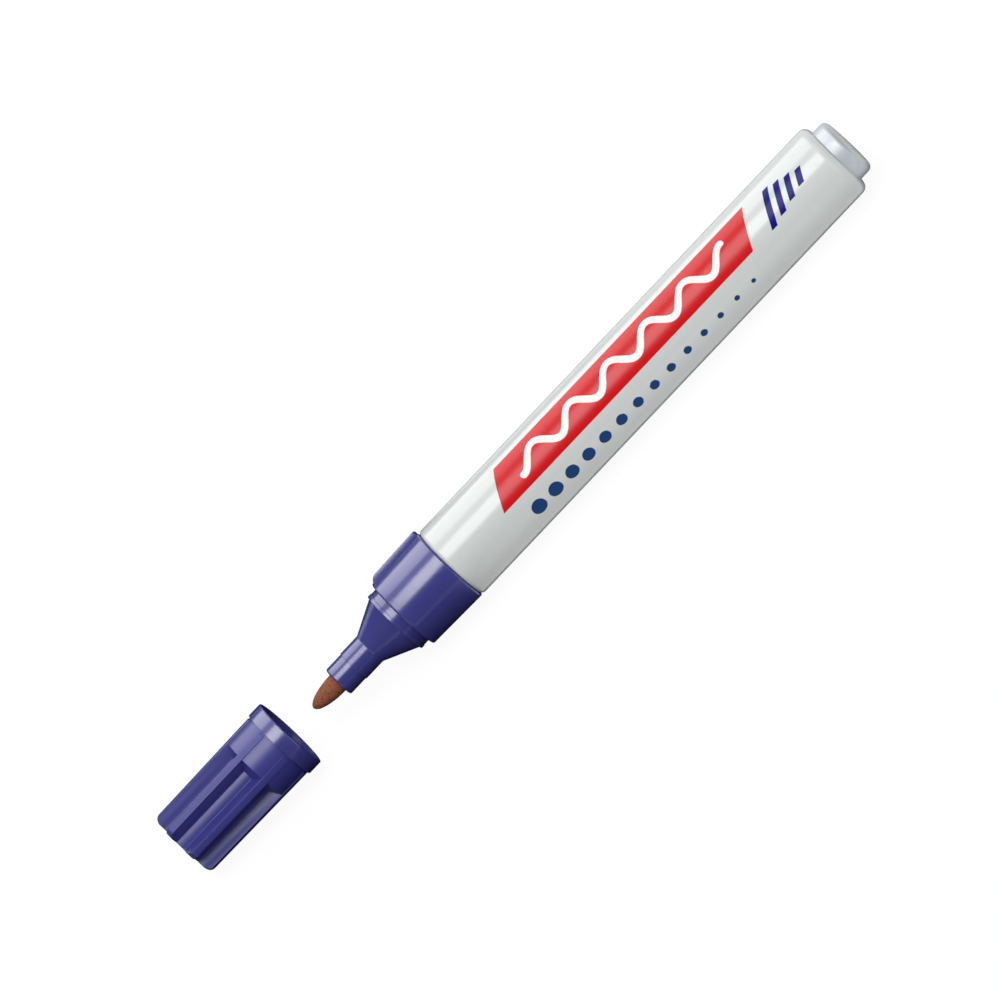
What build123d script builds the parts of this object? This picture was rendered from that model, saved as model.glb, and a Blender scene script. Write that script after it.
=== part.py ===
"""Felt-tip marker: an aluminium barrel, a moulded nib holder and a ribbed cap that is pulled off.

The pen lies along X with its nib toward -X. The origin is the middle of the barrel, on its axis.
Every profile is drawn as (x, radius) in one plane through the axis and turned about X.
"""

import os
from math import cos, radians, sin, tan

from build123d import *

# Placement: the lug points up and back, between +Y and +Z
lug_angle = 45.0

# Barrel, an impact-extruded can
barrel_diameter = 15.2
barrel_length = 96.3
barrel_wall = 0.5
lip_radius = 0.75
shoulder_radius = 1.45
shoulder_flat = 0.4
boss_length = 3.0
boss_wall = 0.75
boss_edge_radius = 0.8

# Nib holder, from the collar forward to the snout
collar_length = 11.9
collar_draft = 0.27
collar_edge_radius = 0.3
seat_step = 1.03
seat_length = 2.0
bead_height = 0.1
bead_width = 0.7
cone_step = 0.27
cone_length = 6.2
snout_rear_diameter = 6.2
snout_rear_length = 4.15
snout_step = 0.13
snout_front_length = 3.8
snout_edge_radius = 0.35
spigot_length = 9.0
spigot_wall = 1.1
spigot_relief = 0.18
hollow_reach = 3.6
collar_lining = 0.8
seal_rib_count = 3
seal_rib_width = 0.8
air_gap = 0.275
nib_rib_count = 6
nib_rib_width = 0.5
rib_root = 0.2

# Lug that keeps the pen from rolling
lug_width = 4.4
lug_height = 0.87
lug_front_radius = 1.7
lug_edge_radius = 0.4

# Nib
nib_diameter = 3.85
nib_exposed = 6.18
nib_in_core = 5.0
nib_taper_length = 3.0
nib_end_diameter = 2.2

# Ink core and its film
wrap_play = 0.48
wrap_wall = 0.14

# Cap
cap_length = 26.9
cap_pulled = 5.75
band_wall = 0.76
band_length = 2.8
band_edge_radius = 0.25
cap_wall = 0.41
cap_draft = 0.26
cap_end_radius = 1.2
rib_count = 7
cap_turn = 8.7
rib_width = 1.36
rib_draft = 7.0
rib_height = 0.14
rib_to_band = 0.4
flute_start = 8.6
flute_ramp = 1.4
flute_root_radius = 0.3
cap_end_wall = 1.2
cap_bore_depth = 3.0
throat_draw = 1.15
flute_wall = 0.65
mouth_chamfer = 0.2

# Sealing cup inside the cap
cup_setback = 1.2
cup_rim_length = 1.6
cup_wall = 0.35
cup_rib_height = 0.12
cup_floor = 1.3
cup_rib_count = 6
cup_rib_width = 0.8
cup_lead_in = 0.3
cup_step = 0.6
cup_step_length = 0.5
nib_room = 0.75

# Fits
press_gap = 0.03
slip_gap = 0.05
end_gap = 0.2

# Modelling allowances: how far cutters run past a face, and how deep joined solids bite
run_out = 1.0
bite = 0.05

# Stations along X
mouth_x = -barrel_length / 2
shoulder_x = barrel_length / 2
tail_x = shoulder_x + boss_length
collar_x = mouth_x - collar_length
cone_rear_x = collar_x - seat_length
cone_front_x = cone_rear_x - cone_length
snout_step_x = cone_front_x - snout_rear_length
snout_x = snout_step_x - snout_front_length
nib_tip_x = snout_x - nib_exposed
spigot_neck_x = mouth_x + lip_radius + slip_gap
spigot_x = mouth_x + spigot_length
core_front_x = spigot_x + end_gap
core_rear_x = shoulder_x - shoulder_radius - end_gap
nib_rear_x = core_front_x + nib_in_core
cap_mouth_x = nib_tip_x - cap_pulled
cap_end_x = cap_mouth_x - cap_length
throat_x = cap_mouth_x - seat_length - cone_length
cup_x = throat_x - cup_setback

# Radii
barrel_r = barrel_diameter / 2
bore_r = barrel_r - barrel_wall
boss_r = barrel_r - shoulder_radius - shoulder_flat
lip_r = barrel_r - lip_radius
collar_front_r = barrel_r - collar_draft
seat_r = collar_front_r - seat_step
bead_r = seat_r + bead_height
cone_rear_r = seat_r - cone_step
snout_rear_r = snout_rear_diameter / 2
snout_front_r = snout_rear_r - snout_step
nib_r = nib_diameter / 2
vein_r = nib_r + air_gap
spigot_r = bore_r - press_gap
spigot_neck_r = spigot_r - spigot_relief
hollow_r = spigot_neck_r - spigot_wall
wrap_r = bore_r - wrap_play
core_r = wrap_r - wrap_wall - press_gap
cap_bore_r = bead_r + slip_gap
band_r = cap_bore_r + band_wall
cap_mouth_r = cap_bore_r + cap_wall
cap_end_r = cap_mouth_r - cap_draft
throat_r = cap_bore_r - throat_draw
cup_bore_r = snout_rear_r + slip_gap
tube_r = cup_bore_r + cup_wall
cup_r = tube_r + cup_rib_height
cavity_r = cup_r + press_gap
flute_floor_r = cavity_r + flute_wall

axial = Plane(
    origin=(0, 0, 0),
    x_dir=(1, 0, 0),
    z_dir=(0, -sin(radians(lug_angle)), cos(radians(lug_angle))),
)


def across(x):
    """Plane square to the pen at station x, looking toward the tail, with its local x along the lug."""
    return Plane(
        origin=(x, 0, 0),
        x_dir=(0, cos(radians(lug_angle)), sin(radians(lug_angle))),
        z_dir=(1, 0, 0),
    )


def cap_body_r(x):
    """Radius of the cap's drafted body at station x."""
    share = (x - cap_end_x) / cap_length
    return cap_end_r + share * (cap_mouth_r - cap_end_r)


os.makedirs("parts", exist_ok=True)

# Barrel: solid of revolution, rounded outside, then hollowed through the turned-in lip
with BuildPart() as barrel:
    with BuildSketch(axial):
        with BuildLine():
            Polyline(
                (mouth_x, 0),
                (mouth_x, barrel_r),
                (shoulder_x, barrel_r),
                (shoulder_x, boss_r),
                (tail_x, boss_r),
                (tail_x, 0),
                close=True,
            )
        make_face()
    revolve(axis=Axis.X)
    rims = barrel.edges().filter_by(GeomType.CIRCLE)
    body_rims = rims.filter_by(lambda e: e.radius > boss_r + bite).sort_by(Axis.X)
    boss_rims = rims.filter_by(lambda e: e.radius < boss_r + bite).sort_by(Axis.X)
    fillet(body_rims[0], lip_radius)
    fillet(body_rims[-1], shoulder_radius)
    fillet(boss_rims[-1], boss_edge_radius)
    with BuildSketch(axial):
        with BuildLine():
            Polyline(
                (mouth_x - run_out, 0),
                (mouth_x - run_out, lip_r),
                (mouth_x + barrel_wall, lip_r),
                (mouth_x + lip_radius, bore_r),
                (shoulder_x - shoulder_radius, bore_r),
                (shoulder_x - barrel_wall, barrel_r - shoulder_radius),
                (shoulder_x - barrel_wall, boss_r - boss_wall),
                (tail_x - boss_wall, boss_r - boss_wall),
                (tail_x - boss_wall, 0),
                close=True,
            )
        make_face()
    revolve(axis=Axis.X, mode=Mode.SUBTRACT)
barrel.part.label = "barrel"
export_step(barrel.part, "parts/barrel.step")

# Nib holder: turned moulding with a spigot, a nib vein with grip ribs and the lug
with BuildPart() as nib_holder:
    with BuildSketch(axial):
        with BuildLine():
            Polyline(
                (snout_x, 0),
                (snout_x, snout_front_r),
                (snout_step_x, snout_front_r),
                (snout_step_x, snout_rear_r),
                (cone_front_x, snout_rear_r),
                (cone_rear_x, cone_rear_r),
                (cone_rear_x, bead_r),
                (cone_rear_x + bead_width, bead_r),
                (cone_rear_x + bead_width, seat_r),
                (collar_x, seat_r),
                (collar_x, collar_front_r),
                (mouth_x - slip_gap, barrel_r),
                (mouth_x - slip_gap, lip_r - press_gap),
                (spigot_neck_x, lip_r - press_gap),
                (spigot_neck_x, spigot_neck_r),
                (spigot_x, spigot_neck_r),
                (spigot_x, 0),
                close=True,
            )
        make_face()
    revolve(axis=Axis.X)
    turned = nib_holder.edges().filter_by(GeomType.CIRCLE)
    fillet(turned.sort_by(Axis.X)[0], snout_edge_radius)
    fillet(turned.filter_by(lambda e: e.radius > collar_front_r - bite), collar_edge_radius)

    # Seal ribs round the spigot
    rib_pitch = (spigot_x - spigot_neck_x) / seal_rib_count
    rib_stations = [(spigot_neck_x + (i + 0.5) * rib_pitch, spigot_r) for i in range(seal_rib_count)]
    with BuildSketch(axial):
        with Locations(*rib_stations):
            Rectangle(seal_rib_width, spigot_wall, align=(Align.CENTER, Align.MAX))
    revolve(axis=Axis.X)

    # Lug on the collar
    with BuildSketch(axial) as lug_side:
        with BuildLine():
            Polyline(
                (collar_x + collar_edge_radius, cone_rear_r - seat_step),
                (collar_x + collar_edge_radius, collar_front_r + lug_height),
                (mouth_x - collar_edge_radius, barrel_r + lug_height),
                (mouth_x - collar_edge_radius, cone_rear_r - seat_step),
                close=True,
            )
        make_face()
        outer_corners = lug_side.vertices().sort_by(Axis.Y)[-2:].sort_by(Axis.X)
        fillet(outer_corners[0], lug_front_radius)
        fillet(lug_side.vertices().sort_by(Axis.X)[-2:].sort_by(Axis.Y)[-1], lug_edge_radius)
    extrude(amount=lug_width / 2, both=True)

    # Ink vein, opening into the hollow spigot
    hollow_front_x = cone_rear_x - hollow_reach
    with BuildSketch(axial):
        with BuildLine():
            Polyline(
                (snout_x - run_out, 0),
                (snout_x - run_out, vein_r),
                (hollow_front_x, vein_r),
                (collar_x, hollow_r - collar_lining),
                (spigot_x + run_out, hollow_r),
                (spigot_x + run_out, 0),
                close=True,
            )
        make_face()
    revolve(axis=Axis.X, mode=Mode.SUBTRACT)

    # Grip ribs that hold the nib and leave air channels between them
    grip_x = snout_x + 2 * snout_edge_radius
    grip_height = air_gap - press_gap + rib_root
    with BuildSketch(across(grip_x)):
        with PolarLocations(nib_r + press_gap, nib_rib_count):
            Rectangle(grip_height, nib_rib_width, align=(Align.MIN, Align.CENTER))
    extrude(amount=hollow_front_x - grip_x)
nib_holder.part.label = "nib_holder"
export_step(nib_holder.part, "parts/nib_holder.step")

# Nib: bullet point, round shaft, tapered rear end inside the ink core
with BuildPart() as nib:
    with BuildSketch(axial):
        with BuildLine():
            EllipticalCenterArc((snout_x, 0), nib_exposed, nib_r, start_angle=90, arc_size=90)
            Polyline(
                (nib_tip_x, 0),
                (nib_rear_x, 0),
                (nib_rear_x, nib_end_diameter / 2),
                (nib_rear_x - nib_taper_length, nib_r),
                (snout_x, nib_r),
            )
        make_face()
    revolve(axis=Axis.X)
nib.part.label = "nib"
export_step(nib.part, "parts/nib.step")

# Ink core: fibre rod with a socket that takes the rear end of the nib
with BuildPart() as ink_core:
    with BuildSketch(axial):
        with BuildLine():
            Polyline(
                (core_front_x, nib_r + press_gap),
                (core_front_x, core_r),
                (core_rear_x, core_r),
                (core_rear_x, 0),
                (nib_rear_x + press_gap, 0),
                (nib_rear_x + press_gap, nib_end_diameter / 2 + press_gap),
                (nib_rear_x - nib_taper_length, nib_r + press_gap),
                close=True,
            )
        make_face()
    revolve(axis=Axis.X)
ink_core.part.label = "ink_core"
export_step(ink_core.part, "parts/ink_core.step")

# Core wrap: film tube over the fibre
with BuildPart() as core_wrap:
    with BuildSketch(axial):
        with BuildLine():
            Polyline(
                (core_front_x, wrap_r - wrap_wall),
                (core_front_x, wrap_r),
                (core_rear_x, wrap_r),
                (core_rear_x, wrap_r - wrap_wall),
                close=True,
            )
        make_face()
    revolve(axis=Axis.X)
core_wrap.part.label = "core_wrap"
export_step(core_wrap.part, "parts/core_wrap.step")

# Cap: drafted body, flutes cut between the ribs, plain sleeve that ramps down to them, then the bore
with BuildPart() as cap:
    sleeve_x = cap_mouth_x - flute_start
    ramp_x = sleeve_x - flute_ramp
    band_x = cap_mouth_x - band_length
    rib_stop_x = band_x - rib_to_band
    with BuildSketch(axial):
        with BuildLine():
            Polyline(
                (cap_end_x, 0),
                (cap_end_x, cap_end_r + rib_height),
                (rib_stop_x, cap_body_r(rib_stop_x) + rib_height),
                (rib_stop_x, 0),
                close=True,
            )
        make_face()
    revolve(axis=Axis.X)
    fillet(cap.edges().filter_by(GeomType.CIRCLE).sort_by(Axis.X)[0], cap_end_radius)

    # Flutes: everything outside the floor but the ribs, whose sides spread toward their roots
    rib_top_r = cap_mouth_r + rib_height + run_out
    rib_reach_r = rib_top_r + run_out
    rib_top_half = rib_width / 2 - (rib_reach_r - cap_end_r) * tan(radians(rib_draft))
    rib_root_half = rib_width / 2 + cap_end_r * tan(radians(rib_draft))
    with BuildSketch(across(cap_end_x - run_out)) as flutes:
        Circle(rib_top_r)
        Circle(flute_floor_r, mode=Mode.SUBTRACT)
        with PolarLocations(0, rib_count, start_angle=cap_turn):
            Polygon(
                (0, -rib_root_half),
                (rib_reach_r, -rib_top_half),
                (rib_reach_r, rib_top_half),
                (0, rib_root_half),
                align=None,
                mode=Mode.SUBTRACT,
            )
        roots = flutes.vertices().filter_by(lambda v: Vector(v.X, v.Y).length < flute_floor_r + bite)
        fillet(roots, flute_root_radius)
    extrude(amount=rib_stop_x - cap_end_x + 2 * run_out, mode=Mode.SUBTRACT)

    # Plain sleeve: its conical end is where the flutes run out
    with BuildSketch(axial) as sleeve_side:
        with BuildLine():
            Polyline(
                (ramp_x, 0),
                (ramp_x, flute_floor_r - bite),
                (sleeve_x, cap_body_r(sleeve_x)),
                (band_x, cap_body_r(band_x)),
                (band_x, band_r),
                (cap_mouth_x, band_r),
                (cap_mouth_x, 0),
                close=True,
            )
        make_face()
        fillet(sleeve_side.vertices().sort_by(Axis.Y)[-2:].sort_by(Axis.X)[-1], band_edge_radius)
    revolve(axis=Axis.X)

    # Bore: seat for the bead, throat round the cone, cavity for the sealing cup
    with BuildSketch(axial):
        with BuildLine():
            Polyline(
                (cap_mouth_x + run_out, 0),
                (cap_mouth_x + run_out, cap_bore_r + mouth_chamfer),
                (cap_mouth_x, cap_bore_r + mouth_chamfer),
                (cap_mouth_x - mouth_chamfer, cap_bore_r),
                (cap_mouth_x - cap_bore_depth, cap_bore_r),
                (throat_x, throat_r),
                (throat_x, cavity_r),
                (cap_end_x + cap_end_wall, cavity_r),
                (cap_end_x + cap_end_wall, 0),
                close=True,
            )
        make_face()
    revolve(axis=Axis.X, mode=Mode.SUBTRACT)
cap.part.label = "cap"
export_step(cap.part, "parts/cap.step")

# Sealing cup: rim and floor press into the cap, the tube between them closes on the snout
with BuildPart() as inner_cap:
    cup_floor_x = cap_end_x + cap_end_wall + press_gap
    nib_room_x = cap_mouth_x - (collar_x - nib_tip_x) - nib_room
    snout_room_x = cap_mouth_x - (collar_x - snout_x) - end_gap
    with BuildSketch(axial):
        with BuildLine():
            Polyline(
                (cup_x, 0),
                (cup_x, cup_r),
                (cup_x - cup_rim_length, cup_r),
                (cup_x - cup_rim_length, tube_r),
                (cup_floor_x + cup_floor, tube_r),
                (cup_floor_x + cup_floor, cup_r),
                (cup_floor_x, cup_r),
                (cup_floor_x, 0),
                close=True,
            )
        make_face()
    revolve(axis=Axis.X)
    with BuildSketch(across(cup_floor_x)):
        with PolarLocations(tube_r - bite, cup_rib_count):
            Rectangle(cup_rib_height + bite, cup_rib_width, align=(Align.MIN, Align.CENTER))
    extrude(amount=cup_x - cup_floor_x)
    with BuildSketch(axial):
        with BuildLine():
            Polyline(
                (cup_x + run_out, 0),
                (cup_x + run_out, cup_bore_r + cup_lead_in),
                (cup_x, cup_bore_r + cup_lead_in),
                (cup_x - cup_lead_in, cup_bore_r),
                (snout_room_x, cup_bore_r),
                (snout_room_x - cup_step_length, cup_bore_r - cup_step),
                (nib_room_x, cup_bore_r - cup_step),
                (nib_room_x, 0),
                close=True,
            )
        make_face()
    revolve(axis=Axis.X, mode=Mode.SUBTRACT)
inner_cap.part.label = "inner_cap"
export_step(inner_cap.part, "parts/inner_cap.step")
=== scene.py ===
"""A felt-tip marker lying on a white table with its cap pulled off, dressed for a studio picture.

Pieces are modelled in millimetres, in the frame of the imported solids, and brought to metres when they
are finished. The pen lies along X with its nib toward -X, and its lug points up and back.
"""

import logging
import math
from dataclasses import dataclass
from enum import Enum
from functools import partial
from itertools import pairwise
from typing import Callable, ClassVar, Sequence

import bmesh
import bpy
from mathutils import Color, Matrix, Vector


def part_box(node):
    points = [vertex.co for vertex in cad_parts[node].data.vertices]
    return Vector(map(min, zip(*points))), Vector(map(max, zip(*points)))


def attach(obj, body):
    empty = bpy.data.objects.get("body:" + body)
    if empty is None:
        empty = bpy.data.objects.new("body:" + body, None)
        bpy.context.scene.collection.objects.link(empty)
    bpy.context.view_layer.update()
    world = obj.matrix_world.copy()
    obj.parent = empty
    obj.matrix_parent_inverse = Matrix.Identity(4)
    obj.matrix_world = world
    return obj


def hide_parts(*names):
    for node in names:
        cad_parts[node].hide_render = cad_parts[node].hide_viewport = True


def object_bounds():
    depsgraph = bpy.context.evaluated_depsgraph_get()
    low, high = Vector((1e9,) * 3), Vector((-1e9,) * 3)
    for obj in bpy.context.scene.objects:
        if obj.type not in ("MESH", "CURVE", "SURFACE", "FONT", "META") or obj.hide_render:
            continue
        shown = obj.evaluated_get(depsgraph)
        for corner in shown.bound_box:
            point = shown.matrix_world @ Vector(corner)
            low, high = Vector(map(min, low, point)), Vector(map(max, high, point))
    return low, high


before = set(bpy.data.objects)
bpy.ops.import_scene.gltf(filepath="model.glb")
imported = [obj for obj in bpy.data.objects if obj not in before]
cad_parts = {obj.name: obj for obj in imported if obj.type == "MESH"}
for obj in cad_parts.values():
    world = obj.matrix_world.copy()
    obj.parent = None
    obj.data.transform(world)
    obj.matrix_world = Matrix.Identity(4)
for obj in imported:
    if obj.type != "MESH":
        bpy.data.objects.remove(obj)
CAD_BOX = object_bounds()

Pair = tuple[float, float]
Triple = tuple[float, float, float]
Ring = Callable[[float], Pair]

LOG = logging.getLogger("marker")
MM = 0.001
ALONG = Vector((1, 0, 0))
FULL_TURN = 2 * math.pi
LUG_ANGLE = math.radians(45)
SMOOTH_ANGLE = math.radians(32)

# Steps of a full turn on the lathe, and the degrees and the least number of steps of a rounded corner
LATHE_STEPS = 144
ROUND_STEP = 11
ROUND_LEAST = 3

# Tolerances in millimetres: points that are merged, points at one place and points near each other
MERGED = 0.0005
SAME = 0.001
NEAR = 0.01


class Body(Enum):
    """Bodies that the pieces ride on."""

    PEN = "pen"
    CAP = "cap"


class Slot(Enum):
    """Material slots that the pieces take their finish from."""

    BARREL = "barrel_lacquer"
    VIOLET = "violet_plastic"
    NIB = "nib_fibre"


class Part(Enum):
    """Parts of a mesh that can be selected."""

    VERTEX = "VERT"
    EDGE = "EDGE"
    FACE = "FACE"


class Detail(Enum):
    """Number of finer layers in a noise."""

    COARSE = 2.0
    MEDIUM = 3.0
    FINE = 4.0


@dataclass(frozen=True)
class Colour:
    """A colour written as 8-bit sRGB."""

    red: int
    green: int
    blue: int

    @property
    def linear(self) -> tuple[float, float, float, float]:
        """The colour as linear RGBA."""
        written = Color([channel / 255 for channel in (self.red, self.green, self.blue)])
        return (*written.from_srgb_to_scene_linear(), 1.0)


@dataclass(frozen=True, eq=False)
class Field:
    """A number that varies over a surface: an output socket of a node tree that takes arithmetic."""

    tree: bpy.types.NodeTree
    socket: bpy.types.NodeSocket

    def _math(self, operation: str, *others: "Field | float") -> "Field":
        """Adds a Math node.

        Args:
            operation: Name of the operation.
            others: Second and third operands.

        Returns:
            The result as a field.
        """
        node = self.tree.nodes.new("ShaderNodeMath")
        node.operation = operation
        for socket, operand in zip(node.inputs, (self, *others)):
            if isinstance(operand, Field):
                self.tree.links.new(operand.socket, socket)
            else:
                socket.default_value = operand
        return Field(self.tree, node.outputs[0])

    def __add__(self, other: "Field | float") -> "Field":
        """Sum."""
        return self._math("ADD", other)

    def __sub__(self, other: "Field | float") -> "Field":
        """Difference."""
        return self._math("SUBTRACT", other)

    def __mul__(self, other: "Field | float") -> "Field":
        """Product."""
        return self._math("MULTIPLY", other)

    def __truediv__(self, other: "Field | float") -> "Field":
        """Quotient."""
        return self._math("DIVIDE", other)

    def __abs__(self) -> "Field":
        """Size without sign."""
        return self._math("ABSOLUTE")

    def sine(self) -> "Field":
        """Sine of an angle in radians."""
        return self._math("SINE")

    def floor(self) -> "Field":
        """Whole part, rounded down."""
        return self._math("FLOOR")

    def root(self) -> "Field":
        """Square root."""
        return self._math("SQRT")

    def angle_with(self, other: "Field") -> "Field":
        """Angle in radians whose tangent is this over the other."""
        return self._math("ARCTAN2", other)

    def least(self, other: "Field | float") -> "Field":
        """The smaller of two."""
        return self._math("MINIMUM", other)

    def most(self, other: "Field | float") -> "Field":
        """The larger of two."""
        return self._math("MAXIMUM", other)

    def below(self, limit: "Field | float", blur: float) -> "Field":
        """Soft step that is 1 under a limit.

        Args:
            limit: Value at which the step falls.
            blur: Half the width of the fall.

        Returns:
            1 under the limit, 0 above it.
        """
        node = self.tree.nodes.new("ShaderNodeMapRange")
        node.interpolation_type = "SMOOTHSTEP"
        self.tree.links.new((self - limit).socket, node.inputs["Value"])
        node.inputs["From Min"].default_value = -blur
        node.inputs["From Max"].default_value = blur
        node.inputs["To Min"].default_value = 1.0
        node.inputs["To Max"].default_value = 0.0
        return Field(self.tree, node.outputs["Result"])

    def spread(self, low: float, high: float) -> "Field":
        """Turns 0 to 1 into another range."""
        return self * (high - low) + low


class Shader:
    """A material under construction: one Principled surface and the nodes that feed it."""

    def __init__(self, name: str) -> None:
        """Starts an empty material.

        Args:
            name: Name of the material.
        """
        self.material = bpy.data.materials.new(name)
        self.material.use_nodes = True
        self.tree = self.material.node_tree
        self.surface = self.tree.nodes["Principled BSDF"]
        self.object_place = self.tree.nodes.new("ShaderNodeTexCoord").outputs["Object"]

    def fix(self, **values: float) -> None:
        """Sets sockets that are the same all over, with _ for a space in their names."""
        for name, value in values.items():
            self.surface.inputs[name.replace("_", " ")].default_value = value

    def feed(self, name: str, source: "Field | bpy.types.NodeSocket") -> None:
        """Links a field or a colour socket to an input of the surface."""
        socket = source.socket if isinstance(source, Field) else source
        self.tree.links.new(socket, self.surface.inputs[name])

    def axes(self) -> tuple[Field, Field, Field]:
        """Divides the place on the object by its axes.

        Returns:
            Place along X, Y and Z, in millimetres.
        """
        node = self.tree.nodes.new("ShaderNodeSeparateXYZ")
        self.tree.links.new(self.object_place, node.inputs[0])
        x, y, z = (Field(self.tree, output) * (1 / MM) for output in node.outputs)
        return x, y, z

    def noise(self, cells: Triple, detail: Detail) -> Field:
        """Noise of 0 to 1.

        Args:
            cells: Size of a cell along X, Y and Z, in millimetres.
            detail: Number of finer layers.

        Returns:
            The noise as a field.
        """
        mapping = self.tree.nodes.new("ShaderNodeMapping")
        mapping.inputs["Scale"].default_value = [1 / (cell * MM) for cell in cells]
        self.tree.links.new(self.object_place, mapping.inputs["Vector"])
        node = self.tree.nodes.new("ShaderNodeTexNoise")
        node.inputs["Scale"].default_value = 1.0
        node.inputs["Detail"].default_value = detail.value
        self.tree.links.new(mapping.outputs["Vector"], node.inputs["Vector"])
        return Field(self.tree, node.outputs["Fac"])

    def blend(
        self,
        share: Field,
        first: "Colour | bpy.types.NodeSocket",
        second: "Colour | bpy.types.NodeSocket",
    ) -> bpy.types.NodeSocket:
        """Mixes two colours.

        Args:
            share: Share of the second colour.
            first: Colour where the share is 0.
            second: Colour where the share is 1.

        Returns:
            The mixed colour.
        """
        node = self.tree.nodes.new("ShaderNodeMix")
        node.data_type = "RGBA"
        self.tree.links.new(share.socket, node.inputs["Factor"])
        for name, colour in (("A", first), ("B", second)):
            socket = next(s for s in node.inputs if s.name == name and s.type == "RGBA")
            if isinstance(colour, Colour):
                socket.default_value = colour.linear
            else:
                self.tree.links.new(colour, socket)
        return next(s for s in node.outputs if s.type == "RGBA")

    def emboss(self, height: Field, depth_mm: float) -> None:
        """Raises the surface by a height field.

        Args:
            height: Height from 0 to 1.
            depth_mm: Height that 1 stands for.
        """
        node = self.tree.nodes.new("ShaderNodeBump")
        node.inputs["Distance"].default_value = depth_mm * MM
        self.tree.links.new(height.socket, node.inputs["Height"])
        self.tree.links.new(node.outputs["Normal"], self.surface.inputs["Normal"])


@dataclass(frozen=True)
class MouldedPlastic:
    """Glossy moulded plastic with the faint turning marks of its mould, sized in millimetres."""

    name: str
    base: Colour
    shade: Colour
    gloss: Pair = (0.17, 0.25)
    ior: float = 1.7
    cloud_size: Triple = (5.0, 4.0, 4.0)
    gloss_size: Triple = (1.6, 1.1, 1.1)
    mark_size: Triple = (0.28, 9.0, 9.0)
    mark_depth: float = 0.0016

    def material(self) -> bpy.types.Material:
        """Builds the material.

        Returns:
            The material.
        """
        shader = Shader(self.name)
        cloud = shader.noise(self.cloud_size, Detail.MEDIUM)
        shader.feed("Base Color", shader.blend(cloud, self.base, self.shade))
        shader.feed("Roughness", shader.noise(self.gloss_size, Detail.FINE).spread(*self.gloss))
        shader.fix(IOR=self.ior)
        shader.emboss(shader.noise(self.mark_size, Detail.COARSE), self.mark_depth)
        return shader.material


@dataclass(frozen=True)
class BareAluminium:
    """Unlacquered end of the can with the rings of its tool, sized in millimetres."""

    name: str
    base: Colour
    shade: Colour
    gloss: Pair = (0.40, 0.50)
    metallic: float = 0.35
    grain_size: Triple = (0.9, 0.9, 0.9)
    ring_width: float = 0.12
    ring_depth: float = 0.0020

    def material(self) -> bpy.types.Material:
        """Builds the material.

        Returns:
            The material.
        """
        shader = Shader(self.name)
        x, y, z = shader.axes()
        radius = (y * y + z * z).root()
        rings = ((x + radius) * (FULL_TURN / self.ring_width)).sine() * 0.5 + 0.5
        grain = shader.noise(self.grain_size, Detail.FINE)
        shader.feed("Base Color", shader.blend(grain, self.base, self.shade))
        shader.feed("Roughness", grain.spread(*self.gloss))
        shader.fix(Metallic=self.metallic)
        shader.emboss(rings * grain, self.ring_depth)
        return shader.material


@dataclass(frozen=True)
class FibreTip:
    """Pressed fibre soaked with ink: long strands, pores darkened with painted shade, and a rough matt
    face, sized in millimetres.
    """

    name: str
    base: Colour
    painted_pore_shade: Colour
    strand: Colour
    gloss: Pair = (0.75, 0.95)
    strand_size: Triple = (1.5, 0.16, 0.16)
    strand_share: float = 0.6
    pore_size: Triple = (0.352, 0.22, 0.22)
    pore_limit: float = 0.42
    pore_blur: float = 0.10
    depth: float = 0.06

    def material(self) -> bpy.types.Material:
        """Builds the material.

        Returns:
            The material.
        """
        shader = Shader(self.name)
        strands = shader.noise(self.strand_size, Detail.MEDIUM)
        pores = shader.noise(self.pore_size, Detail.MEDIUM)
        ground = shader.blend(strands, self.base, self.strand)
        # Painted shade: the pores, which the bump below sinks into hollows, take a darker colour.
        pore_shade_mask = pores.below(self.pore_limit, self.pore_blur)
        shader.feed("Base Color", shader.blend(pore_shade_mask, ground, self.painted_pore_shade))
        shader.feed("Roughness", pores.spread(*self.gloss))
        shader.emboss(strands * self.strand_share + pores * (1 - self.strand_share), self.depth)
        return shader.material


@dataclass(frozen=True)
class PlainFinish:
    """Quiet finish of a piece inside the pen: one colour with a soft grain, sized in millimetres."""

    name: str
    base: Colour
    shade: Colour
    gloss: Pair
    grain_size: Triple
    depth: float

    def material(self) -> bpy.types.Material:
        """Builds the material.

        Returns:
            The material.
        """
        shader = Shader(self.name)
        grain = shader.noise(self.grain_size, Detail.FINE)
        shader.feed("Base Color", shader.blend(grain, self.base, self.shade))
        shader.feed("Roughness", grain.spread(*self.gloss))
        shader.emboss(grain, self.depth)
        return shader.material


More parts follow.
